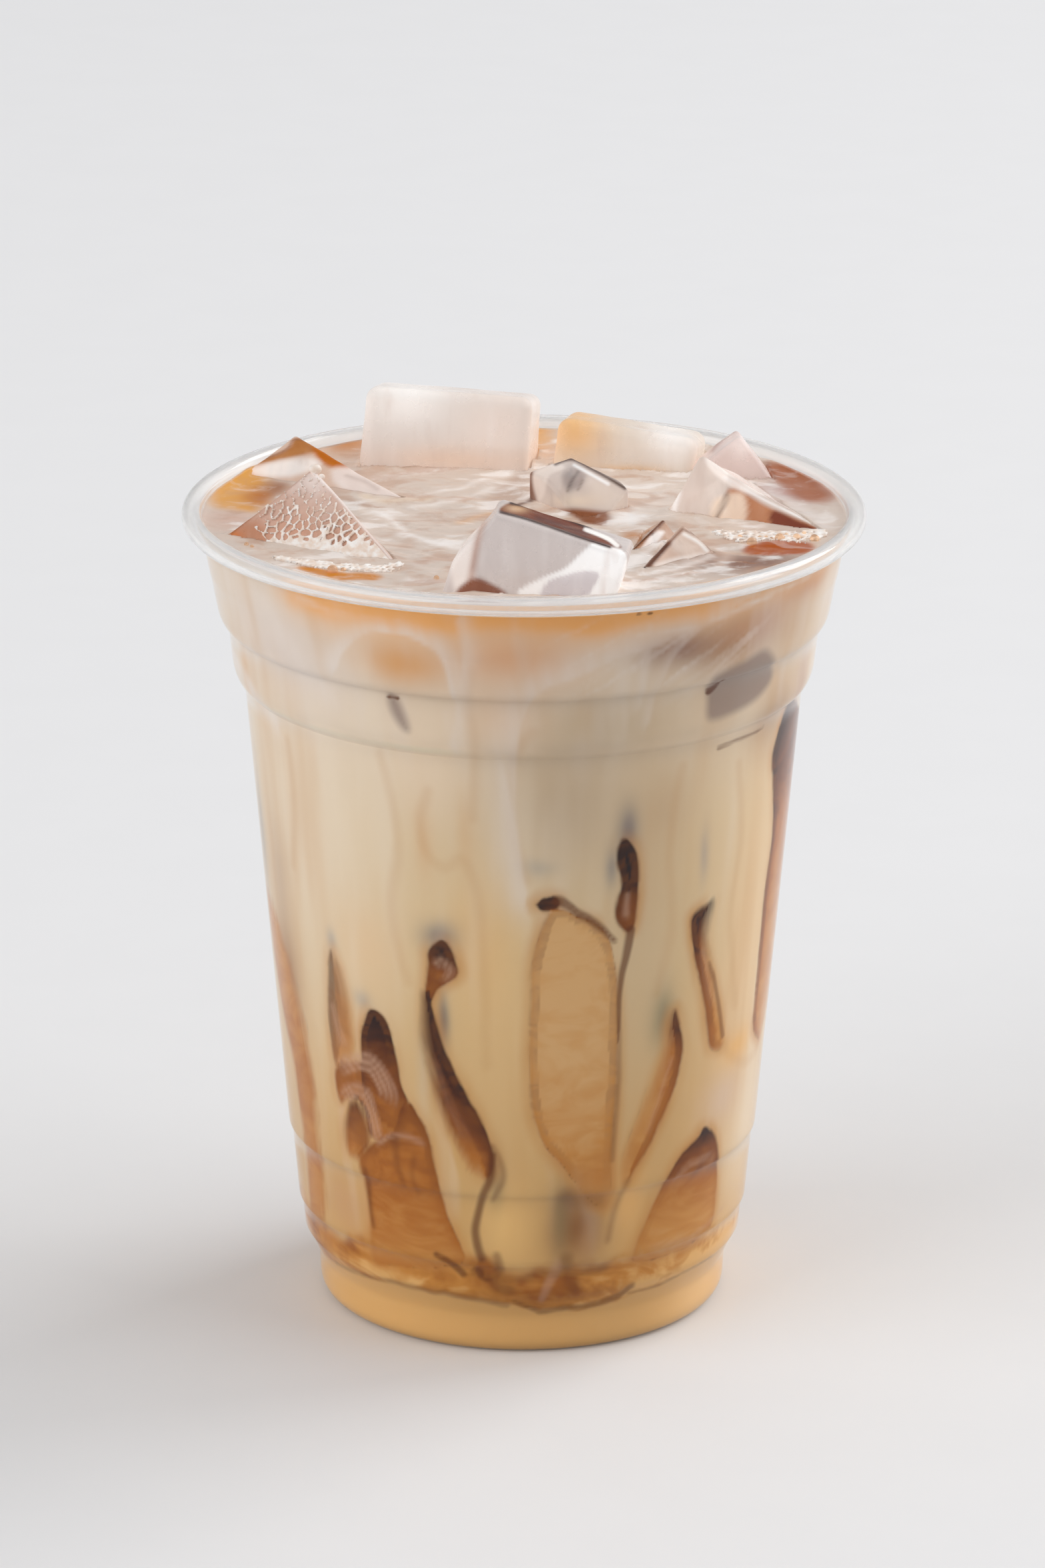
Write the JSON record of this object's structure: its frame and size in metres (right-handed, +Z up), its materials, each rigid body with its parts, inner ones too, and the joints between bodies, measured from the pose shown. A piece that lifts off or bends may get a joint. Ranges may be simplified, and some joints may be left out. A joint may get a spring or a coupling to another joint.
{
  "type": "iced latte in a clear cup",
  "caption": "Tapered clear plastic cup with a curled rim, filled nearly to the brim with marbled milk coffee and lumps of ice standing out of it.",
  "frame": {"origin": "centre of the foot ring, on the surface the cup stands on", "axes": "+Z up along the cup's axis, -Y towards the viewer, +X to the viewer's right"},
  "size_m": [0.0976, 0.0976, 0.1279],
  "materials": {
    "clear_plastic": "clear glossy plastic",
    "milk_coffee": "milk and coffee, marbled",
    "ice": "frosted melting ice"
  },
  "bodies": {
    "root": {"cup": "clear_plastic", "drink": "milk_coffee", "ice_front": "ice", "ice_front_left": "ice", "ice_back_left": "ice", "ice_back_right": "ice", "ice_right": "ice", "ice_centre": "ice", "ice_left_back": "ice", "ice_right_back": "ice", "ice_shard_right": "ice", "ice_shard_left": "ice"}
  },
  "joints": []
}
